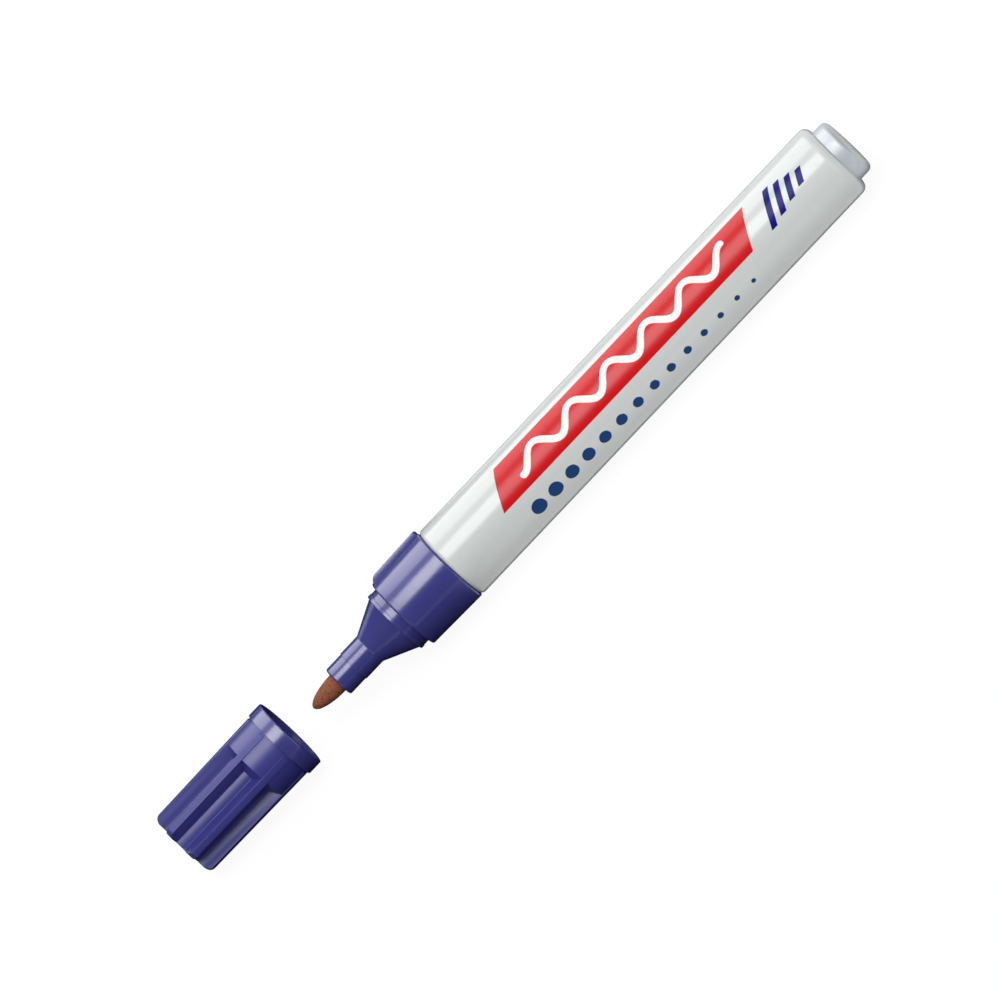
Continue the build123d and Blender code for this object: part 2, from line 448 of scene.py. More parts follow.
@dataclass(frozen=True)
class PrintLayout:
    """Print on the barrel, laid out on its unrolled wall.

    Lengths are in millimetres. Along runs with X, and around runs over the wall from the line that faces
    the camera, down being positive.
    """

    edge: float = 0.05
    bar_middle: Pair = (-2.0, -2.9)
    bar_size: Pair = (62.0, 7.4)
    bar_slant: float = 0.55
    wave_height: float = 1.55
    wave_length: float = 9.4
    wave_width: float = 1.25
    wave_turns: float = 2.75
    dot_first: Pair = (-30.0, 4.6)
    dot_pitch: float = 4.1
    dot_count: int = 14
    dot_radius: Pair = (1.5, 0.45)
    hatch_first: Pair = (34.2, -2.4)
    hatch_pitch: float = 2.5
    hatch_count: int = 4
    hatch_width: float = 1.35
    hatch_height: Pair = (6.4, 2.6)
    row_blur: float = 0.01

    def bar(self, along: Field, around: Field) -> Field:
        """Long bar with slanted ends.

        Args:
            along: Place along the wall.
            around: Place around the wall.

        Returns:
            1 on the bar, 0 off it.
        """
        across = around - self.bar_middle[1]
        lengthwise = along - self.bar_middle[0] + across * self.bar_slant
        ends = abs(lengthwise).below(self.bar_size[0] / 2, self.edge)
        return ends.least(abs(across).below(self.bar_size[1] / 2, self.edge))

    def wave(self, along: Field, around: Field) -> Field:
        """Wavy stroke along the middle of the bar, with a round end on its first and its last crest.

        Args:
            along: Place along the wall.
            around: Place around the wall.

        Returns:
            1 on the stroke, 0 off it.
        """
        turn = FULL_TURN / self.wave_length
        lengthwise = along - self.bar_middle[0]
        phase = lengthwise * turn
        offset = around - self.bar_middle[1] - phase.sine() * self.wave_height
        slope = (phase + math.pi / 2).sine() * (self.wave_height * turn)
        across = offset / (slope * slope + 1.0).root()
        beyond = (abs(lengthwise) - self.wave_turns * self.wave_length).most(0.0)
        return (across * across + beyond * beyond).root().below(self.wave_width / 2, self.edge)

    def dots(self, along: Field, around: Field) -> Field:
        """Row of dots that shrink toward the tail.

        Args:
            along: Place along the wall.
            around: Place around the wall.

        Returns:
            1 on a dot, 0 off it.
        """
        across = around - self.dot_first[1]
        index, local, within = self._row(along - self.dot_first[0], self.dot_pitch, self.dot_count)
        distance = (local * local + across * across).root()
        shrink = (self.dot_radius[1] - self.dot_radius[0]) / (self.dot_count - 1)
        return distance.below(index * shrink + self.dot_radius[0], self.edge).least(within)

    def hatch(self, along: Field, around: Field) -> Field:
        """Short slanted strokes that shrink toward the tail.

        Args:
            along: Place along the wall.
            around: Place around the wall.

        Returns:
            1 on a stroke, 0 off it.
        """
        across = around - self.hatch_first[1]
        slanted = along - self.hatch_first[0] + across * self.bar_slant
        index, local, within = self._row(slanted, self.hatch_pitch, self.hatch_count)
        shrink = (self.hatch_height[1] - self.hatch_height[0]) / (self.hatch_count - 1) / 2
        tall = abs(across).below(index * shrink + self.hatch_height[0] / 2, self.edge)
        wide = abs(local).below(self.hatch_width / 2, self.edge)
        return tall.least(wide).least(within)

    def _row(self, along: Field, pitch: float, count: int) -> tuple[Field, Field, Field]:
        """Divides a row into equal stretches, one for each mark.

        Args:
            along: Place along the row, with 0 at the middle of its first mark.
            pitch: Length of a stretch.
            count: Number of marks.

        Returns:
            Number of the stretch from 0, place from its middle, and 1 within the row.
        """
        steps = along / pitch + 0.5
        index = steps.floor()
        middle = (count - 1) / 2
        within = abs(index - middle).below(middle + 0.5, self.row_blur)
        return index, (steps - index - 0.5) * pitch, within


@dataclass(frozen=True)
class PrintedLacquer:
    """Silver lacquer on the barrel with its print, sized in millimetres."""

    name: str
    silver: Colour
    silver_shade: Colour
    red: Colour
    white: Colour
    blue: Colour
    violet: Colour
    layout: PrintLayout = PrintLayout()
    gloss: Pair = (0.15, 0.21)
    gloss_size: Triple = (2.0, 1.5, 1.5)
    ink_matt: float = 0.08
    shine: float = 0.5
    bar_shine: float = 0.3
    mark_shine: float = 0.15
    ior: float = 1.52
    flake_size: Triple = (0.10, 0.10, 0.10)
    peel_size: Triple = (0.8, 0.8, 0.8)
    peel_depth: float = 0.0012

    def material(self, radius: float) -> bpy.types.Material:
        """Builds the material.

        Args:
            radius: Radius of the wall that the print is laid on, in millimetres.

        Returns:
            The material.
        """
        shader = Shader(self.name)
        along, y, z = shader.axes()
        down = (y * math.cos(LUG_ANGLE) + z * math.sin(LUG_ANGLE)) * -1.0
        toward = z * math.cos(LUG_ANGLE) - y * math.sin(LUG_ANGLE)
        around = down.angle_with(toward) * radius
        bar = self.layout.bar(along, around)
        wave = bar.least(self.layout.wave(along, around))
        dots = self.layout.dots(along, around)
        hatch = self.layout.hatch(along, around)
        flakes = shader.noise(self.flake_size, Detail.COARSE)
        colour = shader.blend(flakes, self.silver, self.silver_shade)
        inks = ((bar, self.red), (wave, self.white), (dots, self.blue), (hatch, self.violet))
        for printed, ink in inks:
            colour = shader.blend(printed, colour, ink)
        shader.feed("Base Color", colour)
        gloss = shader.noise(self.gloss_size, Detail.FINE).spread(*self.gloss)
        marks = dots.most(hatch)
        shader.feed("Roughness", bar.most(marks) * self.ink_matt + gloss)
        bar_shine = bar.spread(self.shine, self.bar_shine)
        mark_shine = marks.spread(self.shine, self.mark_shine)
        shader.feed("Specular IOR Level", bar_shine.least(mark_shine))
        shader.fix(IOR=self.ior)
        shader.emboss(shader.noise(self.peel_size, Detail.COARSE), self.peel_depth)
        return shader.material


@dataclass(frozen=True)
class Finishes:
    """Finishes of the whole marker."""

    violet: MouldedPlastic = MouldedPlastic("violet_plastic", Colour(60, 61, 131), Colour(63, 64, 136))
    # The satin is a rougher copy of the violet for the cap beyond its band; its base is a little darker, as
    # painted shade for the deep flutes.
    satin: MouldedPlastic = MouldedPlastic(
        "violet_satin_shaded",
        Colour(54, 55, 131),
        Colour(57, 58, 136),
        gloss=(0.31, 0.38),
        ior=1.57,
        mark_depth=0.0008,
    )
    lacquer: PrintedLacquer = PrintedLacquer(
        "printed_lacquer",
        silver=Colour(208, 212, 210),
        silver_shade=Colour(214, 218, 216),
        red=Colour(206, 18, 25),
        white=Colour(238, 238, 236),
        blue=Colour(7, 58, 114),
        violet=Colour(18, 16, 120),
    )
    tip: FibreTip = FibreTip("nib_fibre", Colour(139, 75, 47), Colour(90, 44, 26), Colour(163, 96, 64))
    metal: BareAluminium = BareAluminium("bare_aluminium", Colour(200, 206, 211), Colour(190, 196, 202))
    seal: PlainFinish = PlainFinish(
        "seal_plastic",
        Colour(60, 58, 130),
        Colour(55, 54, 122),
        gloss=(0.42, 0.55),
        grain_size=(2.0, 1.5, 1.5),
        depth=0.004,
    )
    core: PlainFinish = PlainFinish(
        "core_fibre",
        Colour(208, 196, 176),
        Colour(186, 172, 150),
        gloss=(0.85, 0.95),
        grain_size=(4.0, 0.2, 0.2),
        depth=0.05,
    )
    film: PlainFinish = PlainFinish(
        "wrap_film",
        Colour(226, 228, 230),
        Colour(214, 216, 220),
        gloss=(0.18, 0.28),
        grain_size=(6.0, 3.0, 3.0),
        depth=0.01,
    )


class Palette:
    """Materials of the marker, each built once from its finish."""

    def __init__(self, finishes: Finishes, barrel_radius: float) -> None:
        """Builds the materials.

        Args:
            finishes: Finishes to build from.
            barrel_radius: Radius of the wall that the print is laid on, in millimetres.
        """
        self.violet = finishes.violet.material()
        self.satin = finishes.satin.material()
        self.tip = finishes.tip.material()
        self.metal = finishes.metal.material()
        self.lacquer = finishes.lacquer.material(barrel_radius)
        self.inner = {
            "ink_core": finishes.core.material(),
            "core_wrap": finishes.film.material(),
            "inner_cap": finishes.seal.material(),
        }


@dataclass(frozen=True)
class Corner:
    """One corner of a lathe profile.

    The radius rounds the corner, and 0 leaves it sharp.
    """

    x: float
    r: float
    radius: float = 0.0

    @property
    def spot(self) -> Vector:
        """Place of the corner in the plane that the profile is drawn in."""
        return Vector((self.x, self.r, 0.0))


def span(node: str, axis: int = 0) -> Pair:
    """Lowest and highest coordinate of a CAD node in millimetres, with 0, 1 or 2 for X, Y or Z."""
    low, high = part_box(node)
    return low[axis] / MM, high[axis] / MM


def start_fresh() -> None:
    """Leaves edit mode and deselects everything, so that operators act on the next piece alone."""
    if bpy.context.mode != "OBJECT":
        bpy.ops.object.mode_set(mode="OBJECT")
    bpy.ops.object.select_all(action="DESELECT")


def start_editing() -> None:
    """Enters edit mode with every vertex of the active piece selected."""
    bpy.ops.object.mode_set(mode="EDIT")
    bpy.ops.mesh.select_mode(type=Part.VERTEX.value)
    bpy.ops.mesh.select_all(action="SELECT")


def select(piece: bpy.types.Object, part: Part, test: Callable[[object], bool]) -> None:
    """Selects parts of a piece in edit mode.

    Args:
        piece: Object in edit mode.
        part: Kind of part to select.
        test: Says whether one of them is selected.
    """
    bpy.ops.mesh.select_mode(type=part.value)
    bpy.ops.mesh.select_all(action="DESELECT")
    mesh = bmesh.from_edit_mesh(piece.data)
    for one in {Part.VERTEX: mesh.verts, Part.EDGE: mesh.edges, Part.FACE: mesh.faces}[part]:
        if test(one):
            one.select_set(True)
    bmesh.update_edit_mesh(piece.data)


def turn_on_lathe(name: str, corners: Sequence[Corner], closed: bool) -> bpy.types.Object:
    """Draws a profile corner by corner, rounds its corners and spins it about X.

    Args:
        name: Name of the piece.
        corners: Corners of the profile, in order.
        closed: Whether the profile comes back to its first corner.

    Returns:
        The turned piece, in edit mode.
    """
    start_fresh()
    bpy.ops.mesh.primitive_plane_add(size=1.0)
    piece = bpy.context.object
    piece.name = name
    start_editing()
    bpy.ops.mesh.merge(type="CENTER")
    bpy.ops.transform.translate(value=corners[0].spot)
    path = [*corners, corners[0]] if closed else list(corners)
    for here, there in pairwise(path):
        bpy.ops.mesh.extrude_vertices_move(TRANSFORM_OT_translate={"value": there.spot - here.spot})
    bpy.ops.mesh.select_all(action="SELECT")
    bpy.ops.mesh.remove_doubles(threshold=MERGED)
    for before, corner, after in zip(path, path[1:], path[2:]):
        round_corner(piece, before, corner, after)
    bpy.ops.mesh.select_all(action="SELECT")
    bpy.ops.mesh.spin(steps=LATHE_STEPS, angle=FULL_TURN, center=(0, 0, 0), axis=ALONG)
    bpy.ops.mesh.select_all(action="SELECT")
    bpy.ops.mesh.remove_doubles(threshold=MERGED)
    bpy.ops.mesh.normals_make_consistent(inside=False)
    return piece


def round_corner(piece: bpy.types.Object, before: Corner, corner: Corner, after: Corner) -> None:
    """Rounds one corner of a profile by a vertex bevel.

    Args:
        piece: Profile in edit mode.
        before: Corner before it.
        corner: Corner to round.
        after: Corner after it.
    """
    if corner.radius <= 0:
        return
    turn = (corner.spot - before.spot).angle(after.spot - corner.spot)
    select(piece, Part.VERTEX, lambda vertex: (vertex.co - corner.spot).length < SAME)
    bpy.ops.mesh.bevel(
        offset_type="OFFSET",
        offset=corner.radius * math.tan(turn / 2),
        segments=max(ROUND_LEAST, round(math.degrees(turn) / ROUND_STEP)),
        affect="VERTICES",
        clamp_overlap=False,
    )


def apply(piece: bpy.types.Object, modifier: bpy.types.Modifier) -> None:
    """Applies a modifier to a piece."""
    bpy.context.view_layer.objects.active = piece
    bpy.ops.object.modifier_apply(modifier=modifier.name)


def paint(
    piece: bpy.types.Object,
    first: bpy.types.Material,
    second: bpy.types.Material,
    test: Callable[[bmesh.types.BMFace], bool],
) -> None:
    """Gives a piece in edit mode two materials.

    Args:
        piece: Piece to paint.
        first: Material of most faces.
        second: Material of the faces that pass the test.
        test: Says whether a face takes the second material.
    """
    piece.data.materials.append(first)
    piece.data.materials.append(second)
    select(piece, Part.FACE, test)
    piece.active_material_index = 1
    bpy.ops.object.material_slot_assign()


def bring_home(piece: bpy.types.Object, body: Body, node: str) -> None:
    """Scales a painted piece to metres, smooths it and lets it stand for a node.

    Args:
        piece: Piece modelled in millimetres.
        body: Body that it rides on.
        node: CAD node that it stands for.
    """
    start_fresh()
    piece.select_set(True)
    bpy.context.view_layer.objects.active = piece
    piece.scale = (MM, MM, MM)
    bpy.ops.object.transform_apply(location=True, rotation=True, scale=True)
    bpy.ops.object.shade_smooth_by_angle(angle=SMOOTH_ANGLE)
    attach(piece, body.value)
    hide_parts(node)
    LOG.info("%s: %d faces, stands for %s", piece.name, len(piece.data.polygons), node)


@dataclass
class Barrel:
    """Lacquered can with a turned-in lip, a rounded shoulder and a bare boss at its tail."""

    wall: float = 0.5
    lip: float = 0.75
    lip_round: float = 0.735
    shoulder: float = 1.45
    shoulder_flat: float = 0.4
    boss_length: float = 3.0
    boss_edge: float = 1.1
    boss_root: float = 0.2
    boss_wall: float = 0.75
    bare_lead: float = 0.02

    def __post_init__(self) -> None:
        """Takes the main sizes from the frame."""
        self.mouth_x, self.tail_x = span("barrel")
        self.radius = span("barrel", 2)[1]
        self.shoulder_x = self.tail_x - self.boss_length
        self.boss_radius = self.radius - self.shoulder - self.shoulder_flat

    def build(self, palette: Palette) -> None:
        """Models and dresses the barrel.

        Args:
            palette: Materials to dress it with.
        """
        bore = self.radius - self.wall
        lip_bore = self.radius - self.lip
        boss_bore = self.boss_radius - self.boss_wall
        corners = [
            Corner(self.tail_x - self.boss_wall, 0.0),
            Corner(self.tail_x - self.boss_wall, boss_bore),
            Corner(self.shoulder_x - self.wall, boss_bore),
            Corner(self.shoulder_x - self.wall, bore, self.shoulder - self.wall),
            Corner(self.mouth_x + self.wall, bore, self.lip - self.wall),
            Corner(self.mouth_x + self.wall, lip_bore),
            Corner(self.mouth_x, lip_bore),
            Corner(self.mouth_x, self.radius, self.lip_round),
            Corner(self.shoulder_x, self.radius, self.shoulder),
            Corner(self.shoulder_x, self.boss_radius, self.boss_root),
            Corner(self.tail_x, self.boss_radius, self.boss_edge),
            Corner(self.tail_x, 0.0),
        ]
        piece = turn_on_lathe("barrel_can", corners, closed=False)
        bare_from = self.shoulder_x - self.bare_lead
        paint(piece, palette.lacquer, palette.metal, lambda face: face.calc_center_median().x > bare_from)
        bpy.ops.object.mode_set(mode="OBJECT")
        bring_home(piece, Body.PEN, "barrel")


@dataclass
class NibHolder:
    """Turned moulding from the spigot in the barrel to the snout, with the lug on its collar."""

    collar_length: float = 11.9
    collar_draft: float = 0.27
    collar_edge: float = 0.3
    collar_root: float = 0.12
    seat_step: float = 1.03
    seat_length: float = 2.0
    bead_height: float = 0.1
    bead_width: float = 0.7
    bead_edge: float = 0.07
    cone_step: float = 0.27
    cone_length: float = 6.2
    cone_root: float = 0.1
    cone_nose: float = 0.5
    snout_radius: float = 3.1
    snout_length: float = 4.15
    snout_step: float = 0.13
    snout_step_edge: float = 0.06
    snout_edge: float = 0.35
    vein_radius: float = 2.2
    neck_gap: float = 0.05
    lip: float = 0.75
    spigot_play: float = 0.68
    spigot_wall: float = 1.1
    spigot_edge: float = 0.3
    hollow_reach: float = 3.6
    lining: float = 0.8
    lug_width: float = 4.4
    lug_height: float = 0.87
    lug_front: float = 1.7
    lug_front_steps: int = 10
    lug_edge: float = 0.4
    lug_edge_steps: int = 5
    lug_soft: float = 0.16
    lug_soft_steps: int = 3
    lug_root: float = 2.4

    def __post_init__(self) -> None:
        """Takes the main sizes from the frame."""
        self.snout_x, self.spigot_x = span("nib_holder")
        self.mouth_x = span("barrel")[0]
        self.rear_radius = span("barrel", 2)[1]
        self.collar_x = self.mouth_x - self.collar_length
        self.cone_rear_x = self.collar_x - self.seat_length
        self.cone_front_x = self.cone_rear_x - self.cone_length
        self.step_x = self.cone_front_x - self.snout_length
        self.front_radius = self.rear_radius - self.collar_draft
        self.seat_radius = self.front_radius - self.seat_step

    def build(self, palette: Palette) -> None:
        """Models and dresses the holder.

        Args:
            palette: Materials to dress it with.
        """
        piece = turn_on_lathe("nib_holder_moulding", self._profile(), closed=True)
        bpy.ops.object.mode_set(mode="OBJECT")
        lug = self._lug()
        union = piece.modifiers.new("lug", "BOOLEAN")
        union.operation = "UNION"
        union.solver = "EXACT"
        union.object = lug
        apply(piece, union)
        bpy.data.objects.remove(lug)
        piece.data.materials.append(palette.violet)
        bring_home(piece, Body.PEN, "nib_holder")

    def _profile(self) -> list[Corner]:
        """Draws the turned body.

        Returns:
            Corners from the snout back along the outside and forward along the vein.
        """
        bead = self.seat_radius + self.bead_height
        bead_rear_x = self.cone_rear_x + self.bead_width
        collar_rear_x = self.mouth_x - self.neck_gap
        neck_x = self.mouth_x + self.lip + self.neck_gap
        neck = self.rear_radius - self.lip - self.neck_gap
        spigot = self.rear_radius - self.spigot_play
        hollow = spigot - self.spigot_wall
        return [
            Corner(self.snout_x, self.vein_radius),
            Corner(self.snout_x, self.snout_radius - self.snout_step, self.snout_edge),
            Corner(self.step_x, self.snout_radius - self.snout_step),
            Corner(self.step_x, self.snout_radius, self.snout_step_edge),
            Corner(self.cone_front_x, self.snout_radius, self.cone_nose),
            Corner(self.cone_rear_x, self.seat_radius - self.cone_step, self.cone_root),
            Corner(self.cone_rear_x, bead, self.bead_edge),
            Corner(bead_rear_x, bead, self.bead_edge),
            Corner(bead_rear_x, self.seat_radius),
            Corner(self.collar_x, self.seat_radius, self.collar_root),
            Corner(self.collar_x, self.front_radius, self.collar_edge),
            Corner(collar_rear_x, self.rear_radius, self.collar_edge),
            Corner(collar_rear_x, neck),
            Corner(neck_x, neck),
            Corner(neck_x, spigot),
            Corner(self.spigot_x, spigot, self.spigot_edge),
            Corner(self.spigot_x, hollow),
            Corner(self.collar_x, hollow - self.lining),
            Corner(self.cone_rear_x - self.hollow_reach, self.vein_radius),
        ]

    def _lug(self) -> bpy.types.Object:
        """Block that keeps the pen from rolling, with a long round at its front.

        Returns:
            The block, turned to its place, out of edit mode.
        """
        front_x = self.collar_x + self.collar_edge
        rear_x = self.mouth_x - self.collar_edge
        top = self.rear_radius + self.lug_height
        height = self.lug_height + self.lug_root
        start_fresh()
        bpy.ops.mesh.primitive_cube_add(size=1.0)
        lug = bpy.context.object
        start_editing()
        size = (rear_x - front_x, self.lug_width, height)
        bpy.ops.transform.resize(value=size, center_override=(0, 0, 0))
        bpy.ops.transform.translate(value=((front_x + rear_x) / 2, 0, top - height / 2))
        select(lug, Part.VERTEX, lambda vertex: vertex.co.z > top - NEAR and vertex.co.x < front_x + NEAR)
        bpy.ops.transform.translate(value=(0, 0, -self.collar_draft))
        rounds = [
            (partial(self._is_top_end, front_x), self.lug_front, self.lug_front_steps),
            (partial(self._is_top_end, rear_x), self.lug_edge, self.lug_edge_steps),
            (self._is_top_side, self.lug_soft, self.lug_soft_steps),
        ]
        for test, radius, steps in rounds:
            select(lug, Part.EDGE, test)
            bpy.ops.mesh.bevel(offset=radius, segments=steps, affect="EDGES", clamp_overlap=False)
        bpy.ops.mesh.select_all(action="SELECT")
        bpy.ops.mesh.normals_make_consistent(inside=False)
        bpy.ops.object.mode_set(mode="OBJECT")
        lug.data.transform(Matrix.Rotation(LUG_ANGLE - math.pi / 2, 4, "X"))
        return lug

    def _is_top_end(self, end_x: float, edge: bmesh.types.BMEdge) -> bool:
        """Whether an edge of the lug runs across its top at one end."""
        level = self.rear_radius + self.lug_height - self.collar_draft - NEAR
        return all(vertex.co.z > level and abs(vertex.co.x - end_x) < NEAR for vertex in edge.verts)

    def _is_top_side(self, edge: bmesh.types.BMEdge) -> bool:
        """Whether an edge of the lug runs along its top at one side, over the end rounds too.

        Args:
            edge: Edge to test.

        Returns:
            The answer.
        """
        first, second = edge.verts
        level = self.rear_radius - self.lug_root + NEAR
        at_side = all(abs(abs(vertex.co.y) - self.lug_width / 2) < SAME for vertex in edge.verts)
        across = abs(first.co.y - second.co.y) > SAME
        upright = abs(first.co.x - second.co.x) < SAME
        return at_side and min(first.co.z, second.co.z) > level and not across and not upright


@dataclass
class Nib:
    """Bullet tip of pressed fibre on a round shaft."""

    shaft_end: float = 1.1
    taper: float = 3.0
    points: int = 18
    lead_share: float = 0.5
    fine_past: float = 0.2
    rough: float = 0.035
    rough_cell: float = 0.28
    rough_layers: int = 2

    def __post_init__(self) -> None:
        """Takes the main sizes from the frame."""
        self.tip_x, self.rear_x = span("nib")
        self.radius = span("nib", 2)[1]
        self.snout_x = span("nib_holder")[0]

    def build(self, palette: Palette) -> None:
        """Models and dresses the nib.

        Args:
            palette: Materials to dress it with.
        """
        length = self.snout_x - self.tip_x
        angles = [math.pi / 2 * step / self.points for step in range(self.points + 1)]
        bullet = [
            Corner(self.snout_x - length * math.cos(angle), self.radius * math.sin(angle))
            for angle in angles
        ]
        shaft = [
            Corner(self.snout_x + self.lead_share * length, self.radius),
            Corner(self.rear_x - self.taper, self.radius),
            Corner(self.rear_x, self.shaft_end),
            Corner(self.rear_x, 0.0),
        ]
        piece = turn_on_lathe("fibre_nib", [*bullet, *shaft], closed=False)
        fine_to = self.snout_x + self.fine_past
        select(piece, Part.FACE, lambda face: face.calc_center_median().x < fine_to)
        bpy.ops.mesh.subdivide(number_cuts=1)
        bpy.ops.object.mode_set(mode="OBJECT")
        self._roughen(piece)
        piece.data.materials.append(palette.tip)
        bring_home(piece, Body.PEN, "nib")

    def _roughen(self, piece: bpy.types.Object) -> None:
        """Gives the pressed fibre its uneven surface, by hollows alone.

        Args:
            piece: Nib in object mode.
        """
        clouds = bpy.data.textures.new("fibre_clouds", "CLOUDS")
        clouds.noise_scale = self.rough_cell
        clouds.noise_depth = self.rough_layers
        uneven = piece.modifiers.new("uneven", "DISPLACE")
        uneven.texture = clouds
        uneven.texture_coords = "LOCAL"
        uneven.strength = self.rough
        uneven.mid_level = 1.0
        apply(piece, uneven)


@dataclass
class Cap:
    """Pulled-off cap: a plain band and sleeve at the mouth, then flutes between ribs.

    The flutes ramp out at the sleeve. The mesh is a grid: columns run along the cap, closest where the
    flutes turn, and rings run round it. Depths are measured from the mouth. Beyond the band the outside is
    satin, from a share of the cavity's radius outward: a rougher copy of the violet whose darker base is
    painted shade.
    """

    end_wall: float = 1.2
    bore: float = 6.45
    bore_depth: float = 3.0
    throat: float = 5.3
    throat_depth: float = 8.2
    cavity: float = 3.65
    chamfer: float = 0.2
    band_length: float = 2.8
    band_edge: float = 0.25
    band_rings: int = 4
    mouth_radius: float = 6.86
    end_radius: float = 6.6
    end_round: float = 1.2
    floor_round: float = 0.15
    ribs: int = 7
    rib_turn: float = 8.7
    rib_width: float = 1.36
    rib_draft: float = math.radians(7)
    rib_height: float = 0.14
    rib_gap: float = 0.4
    rib_edge: float = 0.06
    flute_start: float = 8.6
    flute_ramp: float = 1.4
    flute_ramp_least: float = 0.03
    flute_wall: float = 0.65
    root_radius: float = 0.15
    round_rings: int = 7
    column_steps: tuple[int, ...] = (3, 2, 4, 4, 6)
    satin_from: float = 0.9

    def __post_init__(self) -> None:
        """Takes the main sizes from the frame and works out where a flute turns."""
        self.end_x, self.mouth_x = span("cap")
        self.length = self.mouth_x - self.end_x
        self.band_radius = span("cap", 2)[1]
        self.floor = self.cavity + self.flute_wall
        self.rib_angle = LUG_ANGLE + math.radians(self.rib_turn)
        self.pitch = FULL_TURN / self.ribs
        slope = self.rib_draft
        self.side = self.rib_width / 2 * math.cos(slope) + self.end_radius * math.sin(slope)
        tip = self.end_radius + self.rib_height
        self.tip_angle = math.asin(self.side / tip) - slope
        reach = self.floor + self.root_radius
        self.floor_angle = math.asin((self.side + self.root_radius) / reach) - slope
        along = reach * math.cos(self.floor_angle) - self.root_radius * math.sin(slope)
        across = reach * math.sin(self.floor_angle) - self.root_radius * math.cos(slope)
        self.root_angle = math.atan2(across, along)

    def build(self, palette: Palette) -> None:
        """Models and dresses the cap.

        Args:
            palette: Materials to dress it with.
        """
        piece = self._start()
        for ring in self._rings():
            self._add_ring(piece, ring)
        bpy.ops.mesh.select_all(action="SELECT")
        bpy.ops.mesh.fill_holes(sides=0)
        bpy.ops.mesh.select_all(action="SELECT")
        bpy.ops.mesh.normals_make_consistent(inside=False)
        # Beyond the band the cap takes the satin, whose darker base is painted shade in the flutes.
        paint(piece, palette.violet, palette.satin, self._is_satin)
        bpy.ops.object.mode_set(mode="OBJECT")
        bring_home(piece, Body.CAP, "cap")

    def _is_satin(self, face: bmesh.types.BMFace) -> bool:
        """Whether a face lies on the outside, beyond the band.

        Args:
            face: Face to test.

        Returns:
            The answer.
        """
        middle = face.calc_center_median()
        beyond = middle.x < self.mouth_x - self.band_length - NEAR
        outward = face.normal.dot((0, middle.y, middle.z)) > -SAME
        return beyond and outward and math.hypot(middle.y, middle.z) > self.cavity * self.satin_from

    def _columns(self) -> list[float]:
        """Places the columns, by the steps from one turn of a flute to the next.

        Returns:
            Angles all round, growing from 0 to a full turn.
        """
        edge = self.tip_angle - self.rib_edge / self.end_radius
        turns = [0.0, edge, self.tip_angle, self.root_angle, self.floor_angle, self.pitch / 2]
        half = [
            low + (high - low) * step / steps
            for (low, high), steps in zip(pairwise(turns), self.column_steps)
            for step in range(steps)
        ]
        around = [*half, self.pitch / 2, *(-angle for angle in half[1:])]
        angles = [self.rib_angle + rib * self.pitch + angle for rib in range(self.ribs) for angle in around]
        return sorted(angle % FULL_TURN for angle in angles)

    def _start(self) -> bpy.types.Object:
        """Adds the first ring, at the closed end of the cavity.

        Returns:
            The ring, in edit mode.
        """
        columns = self._columns()
        start_fresh()
        bpy.ops.mesh.primitive_circle_add(
            vertices=len(columns),
            radius=self.cavity,
            fill_type="NOTHING",
            location=(self.end_x + self.end_wall, 0, 0),
            rotation=(0, math.pi / 2, 0),
        )
        piece = bpy.context.object
        piece.name = "cap_shell"
        bpy.ops.object.transform_apply(location=True, rotation=True, scale=True)
        start_editing()
        mesh = bmesh.from_edit_mesh(piece.data)
        ring = sorted(mesh.verts, key=lambda vertex: math.atan2(vertex.co.z, vertex.co.y) % FULL_TURN)
        for vertex, angle in zip(ring, columns):
            vertex.co.y = self.cavity * math.cos(angle)
            vertex.co.z = self.cavity * math.sin(angle)
        bmesh.update_edit_mesh(piece.data)
        return piece

    def _add_ring(self, piece: bpy.types.Object, ring: Ring) -> None:
        """Extrudes the last ring and moves it to its place.

        Args:
            piece: Cap in edit mode, with its last ring selected.
            ring: Depth and radius for an angle from the middle of the nearest rib.
        """
        bpy.ops.mesh.extrude_region_move()
        mesh = bmesh.from_edit_mesh(piece.data)
        for vertex in mesh.verts:
            if vertex.select:
                angle = math.atan2(vertex.co.z, vertex.co.y)
                depth, radius = ring(self._from_rib(angle))
                vertex.co = (self.mouth_x - depth, radius * math.cos(angle), radius * math.sin(angle))
        bmesh.update_edit_mesh(piece.data)

    def _rings(self) -> list[Ring]:
        """Lists the rings after the first, from the cavity out over the mouth to the closed end.

        Returns:
            Depth and radius of each ring, for an angle from the middle of the nearest rib.
        """
        rib_start = self.band_length + self.rib_gap + self.rib_edge
        shares = [step / self.round_rings for step in range(self.round_rings + 1)]
        return [
            *(partial(self._plain, depth, radius) for depth, radius in [*self._inside(), *self._band()]),
            *(partial(self._ribbed, depth) for depth in (rib_start, self.flute_start)),
            self._ramp_foot,
            *(partial(self._end_spot, share) for share in shares),
            partial(self._plain, self.length, self.cavity),
        ]

    def _inside(self) -> list[Pair]:
        """Lists the plain rings from the cavity to the mouth.

        Returns:
            Depth and radius of each.
        """
        return [
            (self.throat_depth, self.cavity),
            (self.throat_depth, self.throat),
            (self.bore_depth, self.bore),
            (self.chamfer, self.bore),
            (0.0, self.bore + self.chamfer),
        ]

    def _band(self) -> list[Pair]:
        """Lists the plain rings from the mouth over the band to where the ribs stop.

        Returns:
            Depth and radius of each.
        """
        turns = [math.pi / 2 * step / self.band_rings for step in range(self.band_rings, -1, -1)]
        sunk = [self.band_edge * (1 - math.sin(turn)) for turn in turns]
        inset = [self.band_edge * (1 - math.cos(turn)) for turn in turns]
        rib_stop = self.band_length + self.rib_gap
        return [
            *((depth, self.band_radius - off) for depth, off in zip(sunk, inset)),
            (self.band_length - self.rib_edge, self.band_radius),
            (self.band_length, self.band_radius - self.rib_edge),
            (self.band_length, self._body(self.band_length)),
            (rib_stop, self._body(rib_stop)),
        ]

    @staticmethod
    def _plain(depth: float, radius: float, angle: float) -> Pair:
        """Depth and radius of a ring that is the same at every angle."""
        return depth, radius

